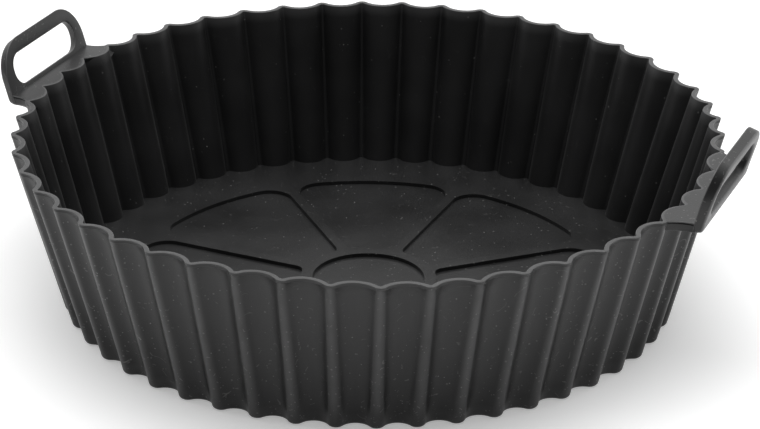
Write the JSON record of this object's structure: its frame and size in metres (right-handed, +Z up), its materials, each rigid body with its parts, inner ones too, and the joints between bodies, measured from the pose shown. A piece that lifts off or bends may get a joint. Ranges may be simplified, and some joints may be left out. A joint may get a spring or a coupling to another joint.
{
  "type": "air fryer liner",
  "caption": "Round fluted silicone bowl that lines an air fryer basket, with ribs between shallow pads on its floor and an upright ring handle on each side of its rim.",
  "frame": {"origin": "centre of the underside, on the bowl's axis", "axes": "+Z up along the bowl's axis, the handles on +X and -X, +Y along a handle's width"},
  "size_m": [0.2154, 0.1996, 0.0626],
  "materials": {
    "black_silicone": "matt, slightly satin on the edges"
  },
  "bodies": {
    "root": {"air_fryer_liner": "black_silicone"}
  },
  "joints": []
}
